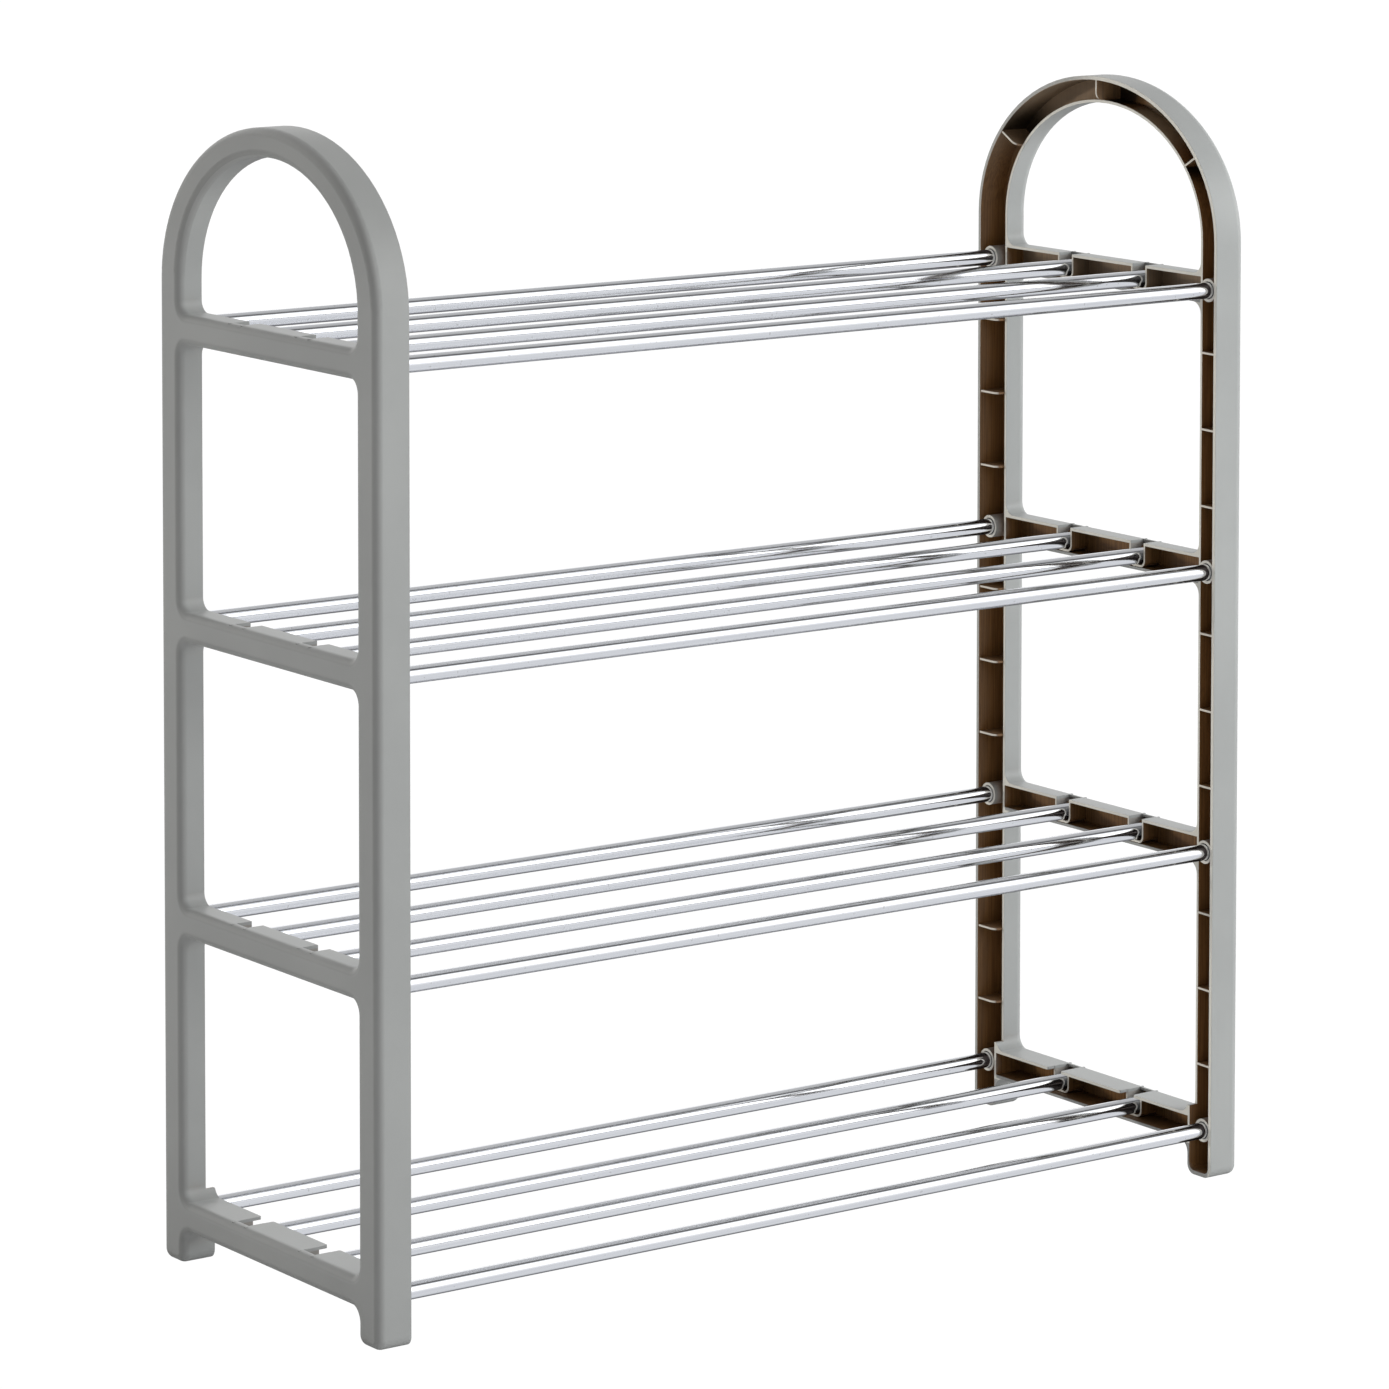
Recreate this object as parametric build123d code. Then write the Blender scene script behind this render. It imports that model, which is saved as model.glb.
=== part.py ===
from build123d import *
import math
import os

# Four-tier shoe rack: two one-piece moulded side frames joined by sixteen
# push-fit steel tubes.  Millimetres, +Z up, the tubes run along X, the front
# faces -Y and the feet stand on Z = 0 with the origin midway between them.
# A "depth" or "reach" on a side frame is measured inwards from its outer face.

# ---- overall sizes ----
rack_length = 626.4          # over the outer faces of the two side frames
outer_x = rack_length / 2    # plane of the right frame's outer face
half_depth = 118.0           # half of the side frame's front-to-back size
tier_pitch = 174.0           # from one shelf of tubes to the next
bottom_tier_height = 28.5    # axis of the lowest tubes above the floor
tier_count = 4               # tier 1 is the top shelf
tier_z = {
    tier: bottom_tier_height + tier_pitch * (tier_count - tier)
    for tier in range(1, tier_count + 1)
}

# ---- side frame moulding ----
rim_depth = 22.0             # outer rim, bottom bar and feet
wall_depth = 16.0            # window walls and upper bars
web = 3.0                    # outer face thickness
outer_wall = 2.4             # outer rim thickness
inner_wall = 1.8             # window wall and flange thickness
window_half = 96.0           # half width of the windows between the posts
bar_half = 8.85              # half height of each cross bar
face_round = 5.0             # rounding around the outer face
window_corner = 7.5
foot_corner = 6.0            # corner radius under each foot
foot_floor = 2.4             # thickness of the closed foot bottom
foot_inner_corner = 4.0      # corner radius of the channel above the foot bottom
lip_height = 5.0             # full depth runs this far up the post walls
arch_spring = 579.1          # height where the posts turn into the arch
arch_rise_outer = 95.4       # rise of the outer curve above the spring
arch_rise_inner = 78.4       # rise of the window curve above the spring

# hollow channel in the posts and arch
channel_outer = half_depth - outer_wall
channel_inner = window_half + inner_wall
channel_rise_outer = arch_rise_outer - outer_wall
channel_rise_inner = arch_rise_inner + inner_wall

# ---- tubes ----
tube_od = 10.0
tube_wall = 0.6
tube_end_gap = 0.3           # between the tube end and the frame's web
outer_tube_y = 107.8
middle_tube_y = 36.3
tube_y = {
    "back": outer_tube_y,
    "mid_back": middle_tube_y,
    "mid_front": -middle_tube_y,
    "front": -outer_tube_y,
}

# ---- sockets ----
bore = 10.1                  # gripping bore of every socket
ring_od = 14.4               # round sockets in the post channels
ring_reach = 20.1
lead_in = 11.0               # mouth diameter of the round sockets
lead_in_depth = 0.9
cup_inner = 12.5             # open-topped cups for the two middle tubes
cup_wall = 1.4
cup_floor = 5.3              # inside of the cup below the tube axis
cup_corner = 3.0             # inner corner radius of the cup
cup_ring_od = cup_inner + 0.1    # gripping ring at the root of each cup
cup_ring_reach = 9.2
notch_width = 13.1           # gap in the flange above each cup
notch_start = 5.7            # depth where the flange notches start
flange_corner = 1.2          # rounding of the flange corners beside a notch

# ---- stiffening ribs ----
rib_thickness = 1.3
rib_fractions = (0.228, 0.5, 0.773)   # below each tier, in tier pitches
rib_reach = 21.6             # tall ribs, just under the outer rim
rib_root = 16.5              # rib depth where it meets the window wall
rib_corner = 5.0             # length of the rounding towards the window wall
low_rib_reach = 17.4         # low ribs, at the rim
arch_rib_angle = 29.4        # side ribs of the arch, above the horizontal

# ---- boolean allowances ----
overlap = 0.5                # added pieces sink this far into the frame
clearance = 0.01             # keeps cup faces off the frame's faces
overcut = 1.0                # cuts run this far past the material
cup_overcut = 5.0
notch_overcut = 3.0
below_floor = -20.0          # lower end of shapes cut through the feet

ARC_MID = 1 - math.sqrt(0.5)     # midpoint inset of a unit quarter arc


# ---- drawing helpers: sketches are in (Y, Z) unless stated ----
def chain(*points):
    """Straight lines joining the points in turn."""
    return [Line(start, end) for start, end in zip(points, points[1:])]


def slab(sketch, depth_from, depth_to):
    """Extrudes a (Y, Z) sketch between two depths behind the outer face."""
    base = Plane.YZ.offset(outer_x - depth_to)
    return extrude(base * sketch, amount=depth_to - depth_from)


def block(y_low, y_high, z_low, z_high):
    centre = Pos((y_low + y_high) / 2, (z_low + z_high) / 2)
    return centre * Rectangle(y_high - y_low, z_high - z_low)


def arched(half_width, rise, z_low):
    """A straight-sided outline with a half-ellipse on top."""
    lines = Curve() + [
        *chain((-half_width, z_low), (half_width, z_low), (half_width, arch_spring)),
        EllipticalCenterArc((0, arch_spring), half_width, rise, start_angle=0, arc_size=180),
        *chain((-half_width, arch_spring), (-half_width, z_low)),
    ]
    return make_face(lines)


def round_corners(sketch, height, radius):
    """Rounds the corners of the sketch that lie at one height."""
    corners = [v for v in sketch.vertices() if abs(v.Y - height) < 0.01]
    return fillet(corners, radius)


# ---- side frame shell ----
def frame_outline():
    """Arched outline with its foot gap and four windows."""
    outline = arched(half_depth, arch_rise_outer, 0.0)

    gap_top = tier_z[tier_count] - bar_half
    foot_gap = block(-window_half, window_half, below_floor, gap_top)
    outline = outline - round_corners(foot_gap, gap_top, window_corner)
    outline = round_corners(outline, 0.0, foot_corner)

    for upper in range(1, tier_count):
        z_low = tier_z[upper + 1] + bar_half
        z_high = tier_z[upper] - bar_half
        outline = outline - Pos(0, (z_low + z_high) / 2) * RectangleRounded(
            2 * window_half, z_high - z_low, window_corner
        )

    arch_sill = tier_z[1] + bar_half
    arch_window = arched(window_half, arch_rise_inner, arch_sill)
    return outline - round_corners(arch_window, arch_sill, window_corner)


def frame_shell():
    """Rounded frame with channels open towards the rack's middle."""
    shell = slab(frame_outline(), 0.0, rim_depth)
    outer_face = shell.faces().sort_by(Axis.X)[-1]
    shell = fillet(outer_face.edges(), face_round)

    channel = arched(channel_outer, channel_rise_outer, foot_floor)
    channel = channel - arched(channel_inner, channel_rise_inner, below_floor)
    channel = round_corners(channel, foot_floor, foot_inner_corner)
    shell = shell - slab(channel, web, rim_depth + overcut)

    channel_half = bar_half - inner_wall
    for z in tier_z.values():
        bar = block(-window_half, window_half, z - channel_half, z + channel_half)
        shell = shell - slab(bar, web, rim_depth + overcut)

    # window walls and upper bars stop short of the outer rim
    lip_top = tier_z[tier_count] + bar_half + lip_height
    recess = arched(channel_outer, channel_rise_outer, lip_top)
    return shell - slab(recess, wall_depth, rim_depth + overcut)


# ---- ribs ----
def rib_plate(length, tall):
    """Plate in a local XY plane: x runs outwards across the channel from 0
    to length, y is the depth behind the outer face."""
    far = length + overlap
    if tall:
        top = rib_reach
        arc_mid = (rib_corner * ARC_MID, top - (rib_reach - rib_root) * ARC_MID)
        free_edge = [
            Line((far, top), (rib_corner, top)),
            ThreePointArc((rib_corner, top), arc_mid, (0.0, rib_root)),
        ]
    else:
        top = low_rib_reach
        free_edge = [Line((far, top), (0.0, rib_root))]
    lines = Curve() + [
        *chain((-overlap, web - overlap), (far, web - overlap), (far, top)),
        *free_edge,
        *chain(
            (0.0, rib_root), (0.0, wall_depth),
            (-overlap, wall_depth), (-overlap, web - overlap),
        ),
    ]
    return extrude(make_face(lines), amount=rib_thickness / 2, both=True)


def place_rib(y, z, out_y, out_z, length, tall):
    """Rib starting at (y, z) on the window wall, along the unit vector (out_y, out_z)."""
    plane = Plane(origin=(outer_x, y, z), x_dir=(0, out_y, out_z), z_dir=(0, -out_z, out_y))
    return plane * rib_plate(length, tall)


def ellipse_radius(half_width, rise, angle):
    """Distance from an ellipse's centre to its curve at a polar angle."""
    return 1.0 / math.sqrt((math.cos(angle) / half_width) ** 2 + (math.sin(angle) / rise) ** 2)


def ribs():
    """Tall ribs in the back post, back of the arch and its top; low ribs in front."""
    plates = []
    for side in (1, -1):
        for upper in range(1, tier_count):
            for fraction in rib_fractions:
                z = tier_z[upper] - fraction * tier_pitch
                length = channel_outer - channel_inner
                plates.append(place_rib(side * channel_inner, z, side, 0, length, side > 0))

    arch_ribs = ((arch_rib_angle, True), (90.0, True), (180.0 - arch_rib_angle, False))
    for degrees, tall in arch_ribs:
        angle = math.radians(degrees)
        start = ellipse_radius(channel_inner, channel_rise_inner, angle)
        end = ellipse_radius(channel_outer, channel_rise_outer, angle)
        out_y, out_z = math.cos(angle), math.sin(angle)
        plates.append(place_rib(
            start * out_y, arch_spring + start * out_z, out_y, out_z, end - start, tall
        ))
    return plates


# ---- sockets ----
def ring(y, z, diameter, reach):
    return slab(Pos(y, z) * Circle(diameter / 2), web - overlap, reach)


def bore_cut(y, z, reach):
    return slab(Pos(y, z) * Circle(bore / 2), web, reach + overcut)


def lead_in_cut(y, z):
    """Cone that widens the mouth of a round socket."""
    mouth = Plane(origin=(outer_x - ring_reach, y, z), x_dir=(0, 1, 0), z_dir=(1, 0, 0))
    return mouth * Pos(0, 0, lead_in_depth / 2) * Cone(lead_in / 2, bore / 2, lead_in_depth)


def cup_outline(y, z, wall, top):
    """Cup's inner outline grown by wall: upright sides, flat floor, rounded corners."""
    half = cup_inner / 2 + wall
    floor_z = z - (cup_floor + wall)
    return round_corners(block(y - half, y + half, floor_z, z + top), floor_z, cup_corner + wall)


def cup(y, z):
    outer = cup_outline(y, z, cup_wall, bar_half - clearance)
    inner = cup_outline(y, z, 0.0, bar_half + cup_overcut)
    return slab(outer - inner, web - overlap, wall_depth - clearance)


def flange_notch(tier, y):
    """Gap in the bar's top flange, drawn in plan (X, Y) with rounded flange corners."""
    reach = rim_depth if tier == tier_count else wall_depth
    edge_x = outer_x - reach
    level = Plane.XY.offset(tier_z[tier])
    centre_x = (edge_x - notch_overcut + outer_x - notch_start) / 2
    gap = Rectangle(reach + notch_overcut - notch_start, notch_width)
    plan = level * (Pos(centre_x, y) * gap)
    for side in (-1, 1):
        side_y = y + side * notch_width / 2
        on_side = (edge_x + flange_corner, side_y)
        inset = flange_corner * ARC_MID
        arc_mid = (edge_x + inset, side_y + side * inset)
        on_edge = (edge_x, side_y + side * flange_corner)
        corner = Curve() + [
            Line((edge_x, side_y), on_side),
            ThreePointArc(on_side, arc_mid, on_edge),
            Line(on_edge, (edge_x, side_y)),
        ]
        plan = plan + level * make_face(corner)
    return extrude(plan, amount=bar_half + overcut)


# ---- pieces ----
def side_frame():
    """The right-hand side frame."""
    frame = frame_shell()
    additions = ribs()
    cuts = []
    for tier, z in tier_z.items():
        for key in ("back", "front"):
            y = tube_y[key]
            additions.append(ring(y, z, ring_od, ring_reach))
            cuts += [bore_cut(y, z, ring_reach), lead_in_cut(y, z)]
        for key in ("mid_back", "mid_front"):
            y = tube_y[key]
            frame = frame - flange_notch(tier, y)
            additions += [cup(y, z), ring(y, z, cup_ring_od, cup_ring_reach)]
            cuts.append(bore_cut(y, z, wall_depth))
    # the bores go last, so that they pass through the added sockets
    frame = frame + additions
    frame = frame - cuts
    return frame.solids().sort_by(SortBy.VOLUME)[-1]


def tube(y, z):
    length = rack_length - 2 * (web + tube_end_gap)
    section = Circle(tube_od / 2) - Circle(tube_od / 2 - tube_wall)
    return extrude(Plane.YZ.offset(-length / 2) * Pos(y, z) * section, amount=length)


right_frame = side_frame()
parts = {
    # both frames come from one mould: the left is the right turned half round
    "side_frame_left": right_frame.rotate(Axis.Z, 180),
    "side_frame_right": right_frame,
}
for tier, z in tier_z.items():
    for key, y in tube_y.items():
        parts[f"tier_{tier}_tube_{key}"] = tube(y, z)

os.makedirs("parts", exist_ok=True)
for name, shape in parts.items():
    export_step(shape, f"parts/{name}.step")
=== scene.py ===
"""Looks for the four-tier shoe rack: plastic and chrome finishes, studio, floor and camera."""

import math

import bpy
from mathutils import Matrix, Vector

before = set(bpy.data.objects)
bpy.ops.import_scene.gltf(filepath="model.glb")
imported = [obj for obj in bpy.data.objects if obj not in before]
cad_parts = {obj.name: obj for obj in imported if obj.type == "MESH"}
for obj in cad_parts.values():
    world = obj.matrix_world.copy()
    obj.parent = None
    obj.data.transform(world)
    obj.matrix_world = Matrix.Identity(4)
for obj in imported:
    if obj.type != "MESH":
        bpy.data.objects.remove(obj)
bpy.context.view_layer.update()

scene = bpy.context.scene
coll = scene.collection


# ---------------------------------------------------------------- node helpers
def new_tree(owner):
    owner.use_nodes = True
    tree = owner.node_tree
    tree.nodes.clear()
    return tree


class Net:
    """Small wrapper so a shader reads as a list of steps."""

    def __init__(self, tree):
        self.tree, self.count = tree, 0

    def add(self, kind, **values):
        n = self.tree.nodes.new(kind)
        n.location = (self.count % 8 * 190, -(self.count // 8) * 260)
        self.count += 1
        for key, v in values.items():
            setattr(n, key, v)
        return n

    def link(self, source, target):
        self.tree.links.new(source, target)
        return target

    def put(self, socket, value):
        if isinstance(value, bpy.types.NodeSocket):
            self.tree.links.new(value, socket)
        else:
            socket.default_value = value

    def math(self, op, a, b=0.0, c=None, clamp=False):
        n = self.add("ShaderNodeMath", operation=op, use_clamp=clamp)
        self.put(n.inputs[0], a)
        self.put(n.inputs[1], b)
        if c is not None:
            self.put(n.inputs[2], c)
        return n.outputs[0]

    def mix(self, factor, a, b, blend="MIX"):
        n = self.add("ShaderNodeMix", data_type="RGBA", blend_type=blend)
        self.put(n.inputs[0], factor)
        self.put(n.inputs[6], a)
        self.put(n.inputs[7], b)
        return n.outputs[2]

    def span(self, value, low, high, to_low=0.0, to_high=1.0, smooth=True):
        n = self.add("ShaderNodeMapRange", interpolation_type="SMOOTHSTEP" if smooth else "LINEAR")
        self.put(n.inputs[0], value)
        for i, v in enumerate((low, high, to_low, to_high)):
            self.put(n.inputs[i + 1], v)
        return n.outputs[0]

    def noise(self, vector, scale, detail=2.0, roughness=0.5):
        n = self.add("ShaderNodeTexNoise", noise_dimensions="3D")
        self.put(n.inputs["Vector"], vector)
        n.inputs["Scale"].default_value = scale
        n.inputs["Detail"].default_value = detail
        n.inputs["Roughness"].default_value = roughness
        return n.outputs[0]

    def stretch(self, vector, scale):
        n = self.add("ShaderNodeVectorMath", operation="MULTIPLY")
        self.put(n.inputs[0], vector)
        n.inputs[1].default_value = scale
        return n.outputs[0]

    def xyz(self, vector):
        n = self.add("ShaderNodeSeparateXYZ")
        self.put(n.inputs[0], vector)
        return n.outputs[0], n.outputs[1], n.outputs[2]

    def bump(self, height, strength, distance, normal=None):
        n = self.add("ShaderNodeBump")
        n.inputs["Strength"].default_value = strength
        n.inputs["Distance"].default_value = distance
        self.put(n.inputs["Height"], height)
        if normal is not None:
            self.put(n.inputs["Normal"], normal)
        return n.outputs[0]


# ---------------------------------------------------------------- plastic
PLASTIC = (0.245, 0.245, 0.235, 1)
CAVITY_SHADE = (0.060, 0.028, 0.010, 1)
EDGE_HIGHLIGHT = (0.70, 0.67, 0.60, 1)


def plastic():
    m = bpy.data.materials.new("satin_grey_plastic")
    g = Net(new_tree(m))
    geo = g.add("ShaderNodeNewGeometry")
    pos, nrm = geo.outputs["Position"], geo.outputs["True Normal"]
    px, py, pz = g.xyz(pos)
    nx, ny, nz = g.xyz(nrm)
    depth = g.math("SUBTRACT", 0.3132, g.math("ABSOLUTE", px))

    # moulded surface: even grey with a slight drift and a fine satin grain; faint flow streaks run only through the
    # painted channel shade below
    drift = g.noise(pos, 9.0, 3.0, 0.55)
    grain = g.noise(pos, 2600.0, 2.0, 0.6)
    base = g.mix(g.span(drift, 0.35, 0.65), (0.236, 0.238, 0.233, 1), (0.256, 0.258, 0.252, 1))

    # painted shade: the open channels behind the outer face are painted dark and warm where ambient occlusion finds
    # them closed
    ao = g.add("ShaderNodeAmbientOcclusion", samples=12, only_local=True)
    ao.inputs["Distance"].default_value = 0.030
    closed = g.span(ao.outputs["AO"], 0.38, 0.80, 1.0, 0.0)
    inner = g.span(depth, 0.0029, 0.00295, smooth=False)
    streak = g.noise(g.stretch(pos, (900.0, 900.0, 18.0)), 1.0, 2.0, 0.6)
    channel_shade_tone = g.mix(g.span(streak, 0.3, 0.7), (0.140, 0.067, 0.022, 1), (0.215, 0.108, 0.038, 1))
    # ... but not the ends of the flanges beside the notches
    step = g.math("MULTIPLY", g.math("FRACT", g.math("DIVIDE", g.math("SUBTRACT", pz, 0.0285), 0.174)), 0.174)
    between = g.math("LESS_THAN", g.math("ABSOLUTE", py), 0.0955)
    top_flange = g.math("MULTIPLY", g.math("COMPARE", step, 0.0080, 0.00095), between)
    # the painted shade is carried over the walls inside the post channels and bar cells up to their rims
    ay = g.math("ABSOLUTE", py)
    above = g.math("MAXIMUM", g.math("SUBTRACT", pz, 0.5791), 0.0)

    def oval(a, b):
        u, v = g.math("DIVIDE", ay, a), g.math("DIVIDE", above, b)
        return g.math("ADD", g.math("MULTIPLY", u, u), g.math("MULTIPLY", v, v))

    channel = g.math("MULTIPLY", g.math("LESS_THAN", oval(0.1158, 0.0932), 1.0), g.math("GREATER_THAN", oval(0.0975, 0.0800), 1.0))
    channel = g.math("MULTIPLY", channel, g.math("GREATER_THAN", pz, 0.0065))
    off = g.math("MINIMUM", step, g.math("SUBTRACT", 0.174, step))
    ring_y = g.math("SUBTRACT", ay, 0.1078)
    from_ring = g.math("SQRT", g.math("ADD", g.math("MULTIPLY", ring_y, ring_y), g.math("MULTIPLY", off, off)))
    channel = g.math("MULTIPLY", channel, g.math("GREATER_THAN", from_ring, 0.0077))
    cell = g.math("MULTIPLY", g.math("LESS_THAN", off, 0.00706), between)
    closed = g.math("MAXIMUM", closed, g.math("MULTIPLY", g.math("MAXIMUM", channel, cell), 0.88))
    # painted shade: the cups behind the middle tubes are painted dark inside
    cup = g.math("LESS_THAN", g.math("ABSOLUTE", g.math("SUBTRACT", g.math("ABSOLUTE", py), 0.0363)), 0.0064)
    cup = g.math("MULTIPLY", g.math("MULTIPLY", cup, g.math("LESS_THAN", depth, 0.0155)), g.math("LESS_THAN", pz, 0.600))
    cavity_shade_mask = g.math("MULTIPLY", g.math("MAXIMUM", closed, cup), inner)
    cavity_shade_mask = g.math("MULTIPLY", cavity_shade_mask, g.math("SUBTRACT", 1.0, top_flange))
    # painted light: the channel shade is painted paler under the crown of the arch and in the cells of the top tier
    side = g.math("SIGN", px)
    along = g.math("MULTIPLY", g.math("MULTIPLY", py, side), -1.0)
    late = g.math("MULTIPLY", g.span(along, 0.022, 0.036), g.span(along, 0.060, 0.078, 0.75, 0.0))
    half = g.math("MAXIMUM", g.span(along, -0.004, 0.004, 0.48, 0.0), late)
    channel_shade_tone = g.mix(g.math("MULTIPLY", g.span(pz, 0.595, 0.655), half), channel_shade_tone, (0.33, 0.265, 0.19, 1))
    channel_shade_tone = g.mix(g.math("MULTIPLY", g.span(pz, 0.530, 0.535, 0.0, 0.38), cell), channel_shade_tone, (0.30, 0.26, 0.20, 1))
    # painted shadow: each rib and cell wall leaves the same one of its sides in a shadow painted into the colour
    angle = g.math("ARCTAN2", above, g.math("MULTIPLY", along, -1.0))
    deg = g.math("MULTIPLY", angle, 180.0 / math.pi)
    shade = g.math("MULTIPLY", g.span(deg, 29.4, 30.4), g.span(deg, 34.0, 52.0, 1.0, 0.0))
    shade = g.math("MAXIMUM", shade, g.math("MULTIPLY", g.span(deg, 90.5, 91.5), g.span(deg, 98.0, 112.0, 1.0, 0.0)))
    shade = g.math("MAXIMUM", shade, g.math("MULTIPLY", g.span(deg, 150.6, 151.6), g.span(deg, 153.0, 160.0, 1.0, 0.0)))
    shade = g.math("MULTIPLY", shade, g.math("GREATER_THAN", pz, 0.5895))
    place = g.math("FRACT", g.math("DIVIDE", g.math("ADD", along, 0.1088), 0.0726))
    shade = g.math("MAXIMUM", shade, g.math("MULTIPLY", g.span(place, 0.16, 0.50, 0.40, 0.0), cell))
    # in the chrome the painted channel shade reflects as a neutral dark
    path = g.add("ShaderNodeLightPath")
    channel_shade_tone = g.mix(g.math("MULTIPLY", path.outputs["Is Glossy Ray"], 0.8), channel_shade_tone, (0.060, 0.062, 0.070, 1))
    # the painted shade is mostly lifted from the insides of the cup walls and partly from the outsides of the round
    # sockets, which stay grey
    cup_side = g.math("COMPARE", g.math("ABSOLUTE", g.math("SUBTRACT", ay, 0.0363)), 0.00625, 0.0004)
    lit = g.math("MULTIPLY", g.math("MULTIPLY", cup_side, g.span(g.math("ABSOLUTE", ny), 0.6, 0.9)), 0.80)
    socket = g.math("MULTIPLY", g.math("LESS_THAN", from_ring, 0.0077), 0.45)
    cavity_shade_mask = g.math("MULTIPLY", cavity_shade_mask, g.math("SUBTRACT", 1.0, g.math("MAXIMUM", lit, socket)))
    # the painted shade goes into the base colour here, and the painted shadow beside ribs and cell walls darkens it
    # further
    base = g.mix(cavity_shade_mask, base, channel_shade_tone)
    base = g.mix(g.math("MULTIPLY", g.math("MULTIPLY", shade, cavity_shade_mask), 0.92), base, (0.006, 0.004, 0.002, 1))

    # painted shade and light: the left arch is painted a touch darker, the inside of each arch a touch paler
    left_arch_shade = g.math("MULTIPLY", g.span(pz, 0.575, 0.625), g.math("LESS_THAN", px, 0.0))
    base = g.mix(g.math("MULTIPLY", left_arch_shade, 0.14), base, (0.115, 0.112, 0.100, 1))
    vault_light = g.math("MULTIPLY", g.math("LESS_THAN", oval(0.0975, 0.0800), 1.0), g.span(ny, -0.95, -0.35, 1.0, 0.6))
    vault_light = g.math("MULTIPLY", vault_light, g.math("MULTIPLY", g.span(pz, 0.585, 0.635), g.math("LESS_THAN", ny, 0.0)))
    base = g.mix(g.math("MULTIPLY", vault_light, 0.14), base, (0.80, 0.80, 0.78, 1))
    # painted light: the upward-facing sills of the windows are painted a little paler
    sill_light = g.math("MULTIPLY", g.math("COMPARE", step, 0.00885, 0.0003), g.math("MULTIPLY", between, g.span(nz, 0.6, 0.9)))
    base = g.mix(g.math("MULTIPLY", sill_light, 0.08), base, (0.80, 0.80, 0.80, 1))

    # painted highlight: free edges of walls, ribs, rings and cups are painted pale as if they catch the light
    inward = g.math("MULTIPLY", g.math("MULTIPLY", nx, side), -1.0)
    rim = g.math("MULTIPLY", g.span(inward, 0.55, 0.85), g.span(depth, 0.0152, 0.0158, smooth=False))
    # the painted highlight is mostly left off the rims of the lower flanges and of the foot bottoms
    low_flange = g.math("MULTIPLY", g.math("COMPARE", step, 0.1661, 0.0011), between)
    foot = g.math("MULTIPLY", g.math("LESS_THAN", pz, 0.0185), g.math("LESS_THAN", g.math("ABSOLUTE", py), 0.1153))
    dim = g.math("SUBTRACT", 1.0, g.math("MULTIPLY", g.math("MAXIMUM", low_flange, foot), 0.85))
    # and it is weakened on one half of the outer rim
    rise = g.math("DIVIDE", g.math("MAXIMUM", g.math("SUBTRACT", pz, 0.5791), 0.0), 0.0954)
    reach = g.math("DIVIDE", py, 0.118)
    radial = g.math("ADD", g.math("MULTIPLY", rise, rise), g.math("MULTIPLY", reach, reach))
    outer_rim = g.math("MULTIPLY", g.math("GREATER_THAN", radial, 0.950), g.span(g.math("MULTIPLY", py, side), -0.01, 0.03))
    dim = g.math("MULTIPLY", dim, g.math("SUBTRACT", 1.0, g.math("MULTIPLY", outer_rim, 0.7)))
    base = g.mix(g.math("MULTIPLY", g.math("MULTIPLY", rim, 0.80), dim), base, EDGE_HIGHLIGHT)

    # painted shade: a soft dark line is painted along the rounding around the outer face
    snx, _, snz = g.xyz(geo.outputs["Normal"])
    facing = g.math("ABSOLUTE", snx)
    round_low = g.span(facing, 0.42, 0.82)
    round_high = g.span(facing, 0.955, 1.0, 1.0, 0.0)
    skin = g.span(depth, 0.0044, 0.0052, 1.0, 0.0)
    turned_up = g.span(g.math("ABSOLUTE", snz), 0.10, 0.50, 0.16, 0.03)
    line = g.math("MULTIPLY", g.math("MULTIPLY", round_low, round_high), g.math("MULTIPLY", skin, turned_up))
    base = g.mix(line, base, (0.02, 0.02, 0.02, 1))

    bevel = g.add("ShaderNodeBevel", samples=4)
    bevel.inputs["Radius"].default_value = 0.0006
    normal = g.bump(grain, 0.12, 0.0002, bevel.outputs[0])

    bsdf = g.add("ShaderNodeBsdfPrincipled")
    g.put(bsdf.inputs["Base Color"], base)
    g.put(bsdf.inputs["Roughness"], g.span(drift, 0.3, 0.7, 0.36, 0.43))
    g.put(bsdf.inputs["Specular IOR Level"], g.math("SUBTRACT", 0.5, g.math("MULTIPLY", cavity_shade_mask, 0.35)))
    g.put(bsdf.inputs["Normal"], normal)
    out = g.add("ShaderNodeOutputMaterial")
    g.link(bsdf.outputs[0], out.inputs["Surface"])
    return m


# ---------------------------------------------------------------- chromed tube
def chrome():
    m = bpy.data.materials.new("chromed_tube")
    g = Net(new_tree(m))
    geo = g.add("ShaderNodeNewGeometry")
    pos = geo.outputs["Position"]
    # drawn tube: long fine draw lines, a few specks in the plating
    lines = g.noise(g.stretch(pos, (5.0, 900.0, 900.0)), 1.0, 3.0, 0.6)
    ripple = g.noise(g.stretch(pos, (40.0, 160.0, 160.0)), 1.0, 2.0, 0.5)
    specks = g.noise(pos, 420.0, 1.0, 0.5)
    dull = g.span(specks, 0.70, 0.76)
    tone = g.mix(g.span(lines, 0.3, 0.7), (0.825, 0.84, 0.88, 1), (0.885, 0.90, 0.93, 1))
    tone = g.mix(g.math("MULTIPLY", dull, 0.35), tone, (0.45, 0.44, 0.44, 1))
    height = g.math("ADD", g.math("MULTIPLY", lines, 0.5), ripple)
    bsdf = g.add("ShaderNodeBsdfPrincipled")
    g.put(bsdf.inputs["Base Color"], tone)
    g.put(bsdf.inputs["Metallic"], 1.0)
    g.put(bsdf.inputs["Roughness"], g.span(lines, 0.3, 0.7, 0.07, 0.13))
    g.put(bsdf.inputs["Normal"], g.bump(height, 0.06, 0.0002))
    out = g.add("ShaderNodeOutputMaterial")
    g.link(bsdf.outputs[0], out.inputs["Surface"])
    return m


mat_plastic = plastic()
mat_chrome = chrome()
for name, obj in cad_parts.items():
    obj.data.materials.clear()
    if name.startswith("side_frame"):
        obj.data.materials.append(mat_plastic)
    else:
        obj.data.materials.append(mat_chrome)

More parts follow.
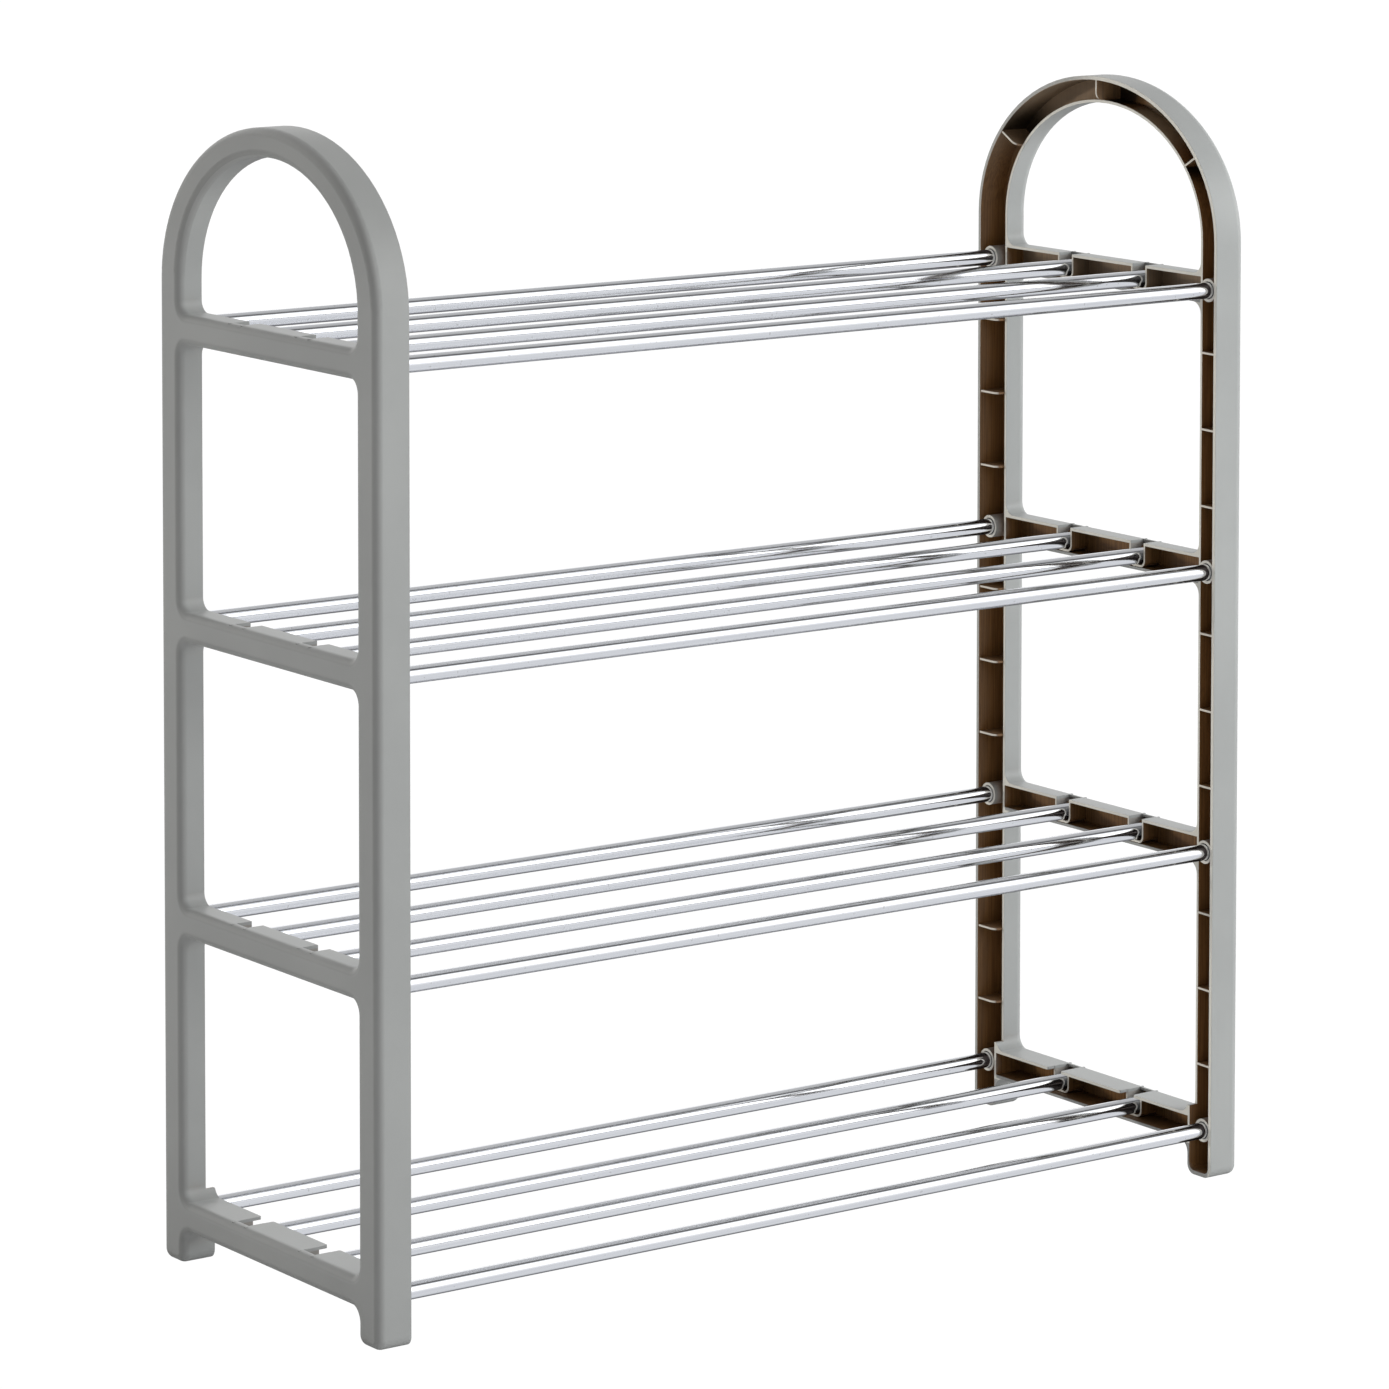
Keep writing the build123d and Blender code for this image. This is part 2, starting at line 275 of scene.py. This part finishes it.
# ---------------------------------------------------------------- floor
bpy.ops.mesh.primitive_plane_add(size=60, location=(0, 0, -0.0005))
floor = bpy.context.active_object
floor.name = "studio_floor"
fm = bpy.data.materials.new("pale_floor")
g = Net(new_tree(fm))
path = g.add("ShaderNodeLightPath")
geo = g.add("ShaderNodeNewGeometry")
_, iy, iz = g.xyz(geo.outputs["Incoming"])
# painted reflection: for glossy rays the floor glows with a grey tone set by angle instead of being lit, bright towards
# the front horizon and dark just behind each tube
dip = g.math("ARCTAN2", iz, g.math("MULTIPLY", iy, -1.0))
behind = g.math("MULTIPLY", g.span(dip, math.radians(97), math.radians(67), 0.0, 1.0), g.span(dip, math.radians(10), math.radians(22)))
far = g.span(dip, math.radians(158), math.radians(176))
near = g.mix(far, (0.765, 0.775, 0.795, 1), (1.0, 1.0, 1.0, 1))
floor_reflection = g.mix(behind, near, (0.19, 0.19, 0.20, 1))
b = g.add("ShaderNodeBsdfDiffuse")
g.put(b.inputs["Color"], (0.80, 0.80, 0.80, 1))
# high-key floor: plain white for the camera, so that edges against it stay crisp
glow = g.add("ShaderNodeEmission")
g.put(glow.inputs["Color"], g.mix(path.outputs["Is Camera Ray"], floor_reflection, (1.0, 1.0, 1.0, 1)))
g.put(glow.inputs["Strength"], g.math("ADD", 0.95, g.math("MULTIPLY", path.outputs["Is Camera Ray"], 0.08)))
pick = g.add("ShaderNodeMixShader")
g.put(pick.inputs[0], g.math("MAXIMUM", path.outputs["Is Glossy Ray"], path.outputs["Is Camera Ray"]))
g.link(b.outputs[0], pick.inputs[1])
g.link(glow.outputs[0], pick.inputs[2])
out = g.add("ShaderNodeOutputMaterial")
g.link(pick.outputs[0], out.inputs["Surface"])
floor.data.materials.append(fm)

# ---------------------------------------------------------------- world
# A soft studio: a broad bright softbox in front and above, a dim ceiling, a grey back
# wall.  The profile runs over the top from the front horizon (0) to the back one (180).
SOFT = ((0, 0.80), (12, 1.34), (30, 1.86), (50, 1.38), (65, 0.95), (78, 0.85), (90, 0.96), (110, 1.15), (140, 1.2), (180, 1.0))
MIRROR = ((0, 1.2), (15, 1.6), (35, 1.9), (50, 1.45), (62, 0.58), (69, 0.10), (78, 0.10), (88, 0.40), (105, 0.52), (130, 0.54), (148, 0.65), (156, 1.2), (165, 1.35), (172, 0.80), (180, 0.75))
PEAK = 4.0
world = bpy.data.worlds.new("studio")
scene.world = world
g = Net(new_tree(world))
coord = g.add("ShaderNodeTexCoord")
dx, dy, dz = g.xyz(coord.outputs["Generated"])
turn = g.math("DIVIDE", g.math("ARCTAN2", dz, g.math("MULTIPLY", dy, -1.0)), math.pi)


def profile(points):
    ramp = g.add("ShaderNodeValToRGB")
    g.put(ramp.inputs[0], turn)
    el = ramp.color_ramp.elements
    while len(el) > 1:
        el.remove(el[0])
    for i, (deg, v) in enumerate(points):
        e = el[0] if i == 0 else el.new(deg / 180.0)
        e.position = deg / 180.0
        e.color = (v / PEAK, v / PEAK, v / PEAK, 1)
    return ramp.outputs[0]


sides = g.span(dx, -0.88, -0.05, 0.03, 1.0, smooth=False)
path = g.add("ShaderNodeLightPath")
level = g.mix(path.outputs["Is Glossy Ray"], profile(SOFT), profile(MIRROR))
sides = g.math("MAXIMUM", sides, g.math("MULTIPLY", path.outputs["Is Glossy Ray"], g.span(dx, -1.0, 0.3, 0.62, 1.0, smooth=False)))
bg = g.add("ShaderNodeBackground")
g.put(bg.inputs["Color"], level)
g.put(bg.inputs["Strength"], g.math("MULTIPLY", sides, PEAK))
plain = g.add("ShaderNodeBackground")
g.put(plain.inputs["Color"], (1, 1, 1, 1))
plain.inputs["Strength"].default_value = 1.03
pick = g.add("ShaderNodeMixShader")
g.put(pick.inputs[0], path.outputs["Is Camera Ray"])
g.link(bg.outputs[0], pick.inputs[1])
g.link(plain.outputs[0], pick.inputs[2])
out = g.add("ShaderNodeOutputWorld")
g.link(pick.outputs[0], out.inputs["Surface"])

def lamp(name, where, target, size, energy, colour=(1, 1, 1)):
    data = bpy.data.lights.new(name, "AREA")
    data.shape, data.size, data.energy, data.color = "DISK", size, energy, colour
    ob = bpy.data.objects.new(name, data)
    coll.objects.link(ob)
    ob.location = where
    ob.rotation_mode = "QUATERNION"
    ob.rotation_quaternion = (Vector(target) - Vector(where)).to_track_quat("-Z", "Y")
    ob.visible_glossy = False
    return ob


# a large lamp in front on the right, which reaches the right frame first, and a smaller one
# behind on the left, which rakes across the outer face and into the open channels
lamp("key_lamp", (2.2, -1.6, 1.3), (0.2, 0.0, 0.35), 1.4, 78.5, (0.93, 0.985, 1.0))
lamp("rake_lamp", (-2.8, 3.0, 0.85), (0.0, 0.0, 0.35), 0.40, 73.0, (1.0, 0.99, 0.95))

scene.view_settings.view_transform = "Standard"

# ---------------------------------------------------------------- camera
# A long lens held level with the rack; the frame is cut from the lower part of its picture,
# which is the vertical shift below.
WIDTH_PX = 1389.0
FOCAL_PX, CENTRE_X, CENTRE_Y = 5917.9545, 842.7666, -30.5620
YAW, PITCH, ROLL = 0.6401653, -0.0673638, 0.0027481
cam_data = bpy.data.cameras.new("photo_camera")
cam = bpy.data.objects.new("photo_camera", cam_data)
coll.objects.link(cam)
scene.camera = cam
cam.location = (-2.0365261, -2.8605624, 0.9895008)
fwd0 = Vector((math.sin(YAW), math.cos(YAW), 0))
right0 = Vector((math.cos(YAW), -math.sin(YAW), 0))
up0 = Vector((0, 0, 1))
fwd = fwd0 * math.cos(PITCH) + up0 * math.sin(PITCH)
up1 = -fwd0 * math.sin(PITCH) + up0 * math.cos(PITCH)
right = right0 * math.cos(ROLL) + up1 * math.sin(ROLL)
up = -right0 * math.sin(ROLL) + up1 * math.cos(ROLL)
cam.rotation_mode = "QUATERNION"
cam.rotation_quaternion = Matrix((right, up, -fwd)).transposed().to_quaternion()
cam_data.sensor_width = 36.0
cam_data.sensor_fit = "HORIZONTAL"
cam_data.lens = FOCAL_PX * 36.0 / WIDTH_PX
cam_data.clip_start, cam_data.clip_end = 0.05, 200
SHIFT_X = (WIDTH_PX / 2 - CENTRE_X) / WIDTH_PX
SHIFT_Y = (CENTRE_Y - WIDTH_PX / 2) / WIDTH_PX
cam_data.shift_x, cam_data.shift_y = SHIFT_X, SHIFT_Y


def shift_only_here(path, value):
    """Lens shift holds at this camera height only, so a camera moved elsewhere looks straight."""
    curve = cam_data.driver_add(path)
    curve.driver.type = "SUM"
    var = curve.driver.variables.new()
    var.type = "TRANSFORMS"
    var.targets[0].id = cam
    var.targets[0].transform_type = "LOC_Z"
    var.targets[0].transform_space = "WORLD_SPACE"
    for mod in list(curve.modifiers):
        curve.modifiers.remove(mod)
    z0 = cam.location.z
    curve.extrapolation = "CONSTANT"
    keys = ((-0.03, 0.0), (-0.015, value), (0.015, value), (0.03, 0.0))
    for dz, v in keys:
        curve.keyframe_points.insert(z0 + dz, v).interpolation = "LINEAR"
    curve.update()


shift_only_here("shift_x", SHIFT_X)
shift_only_here("shift_y", SHIFT_Y)
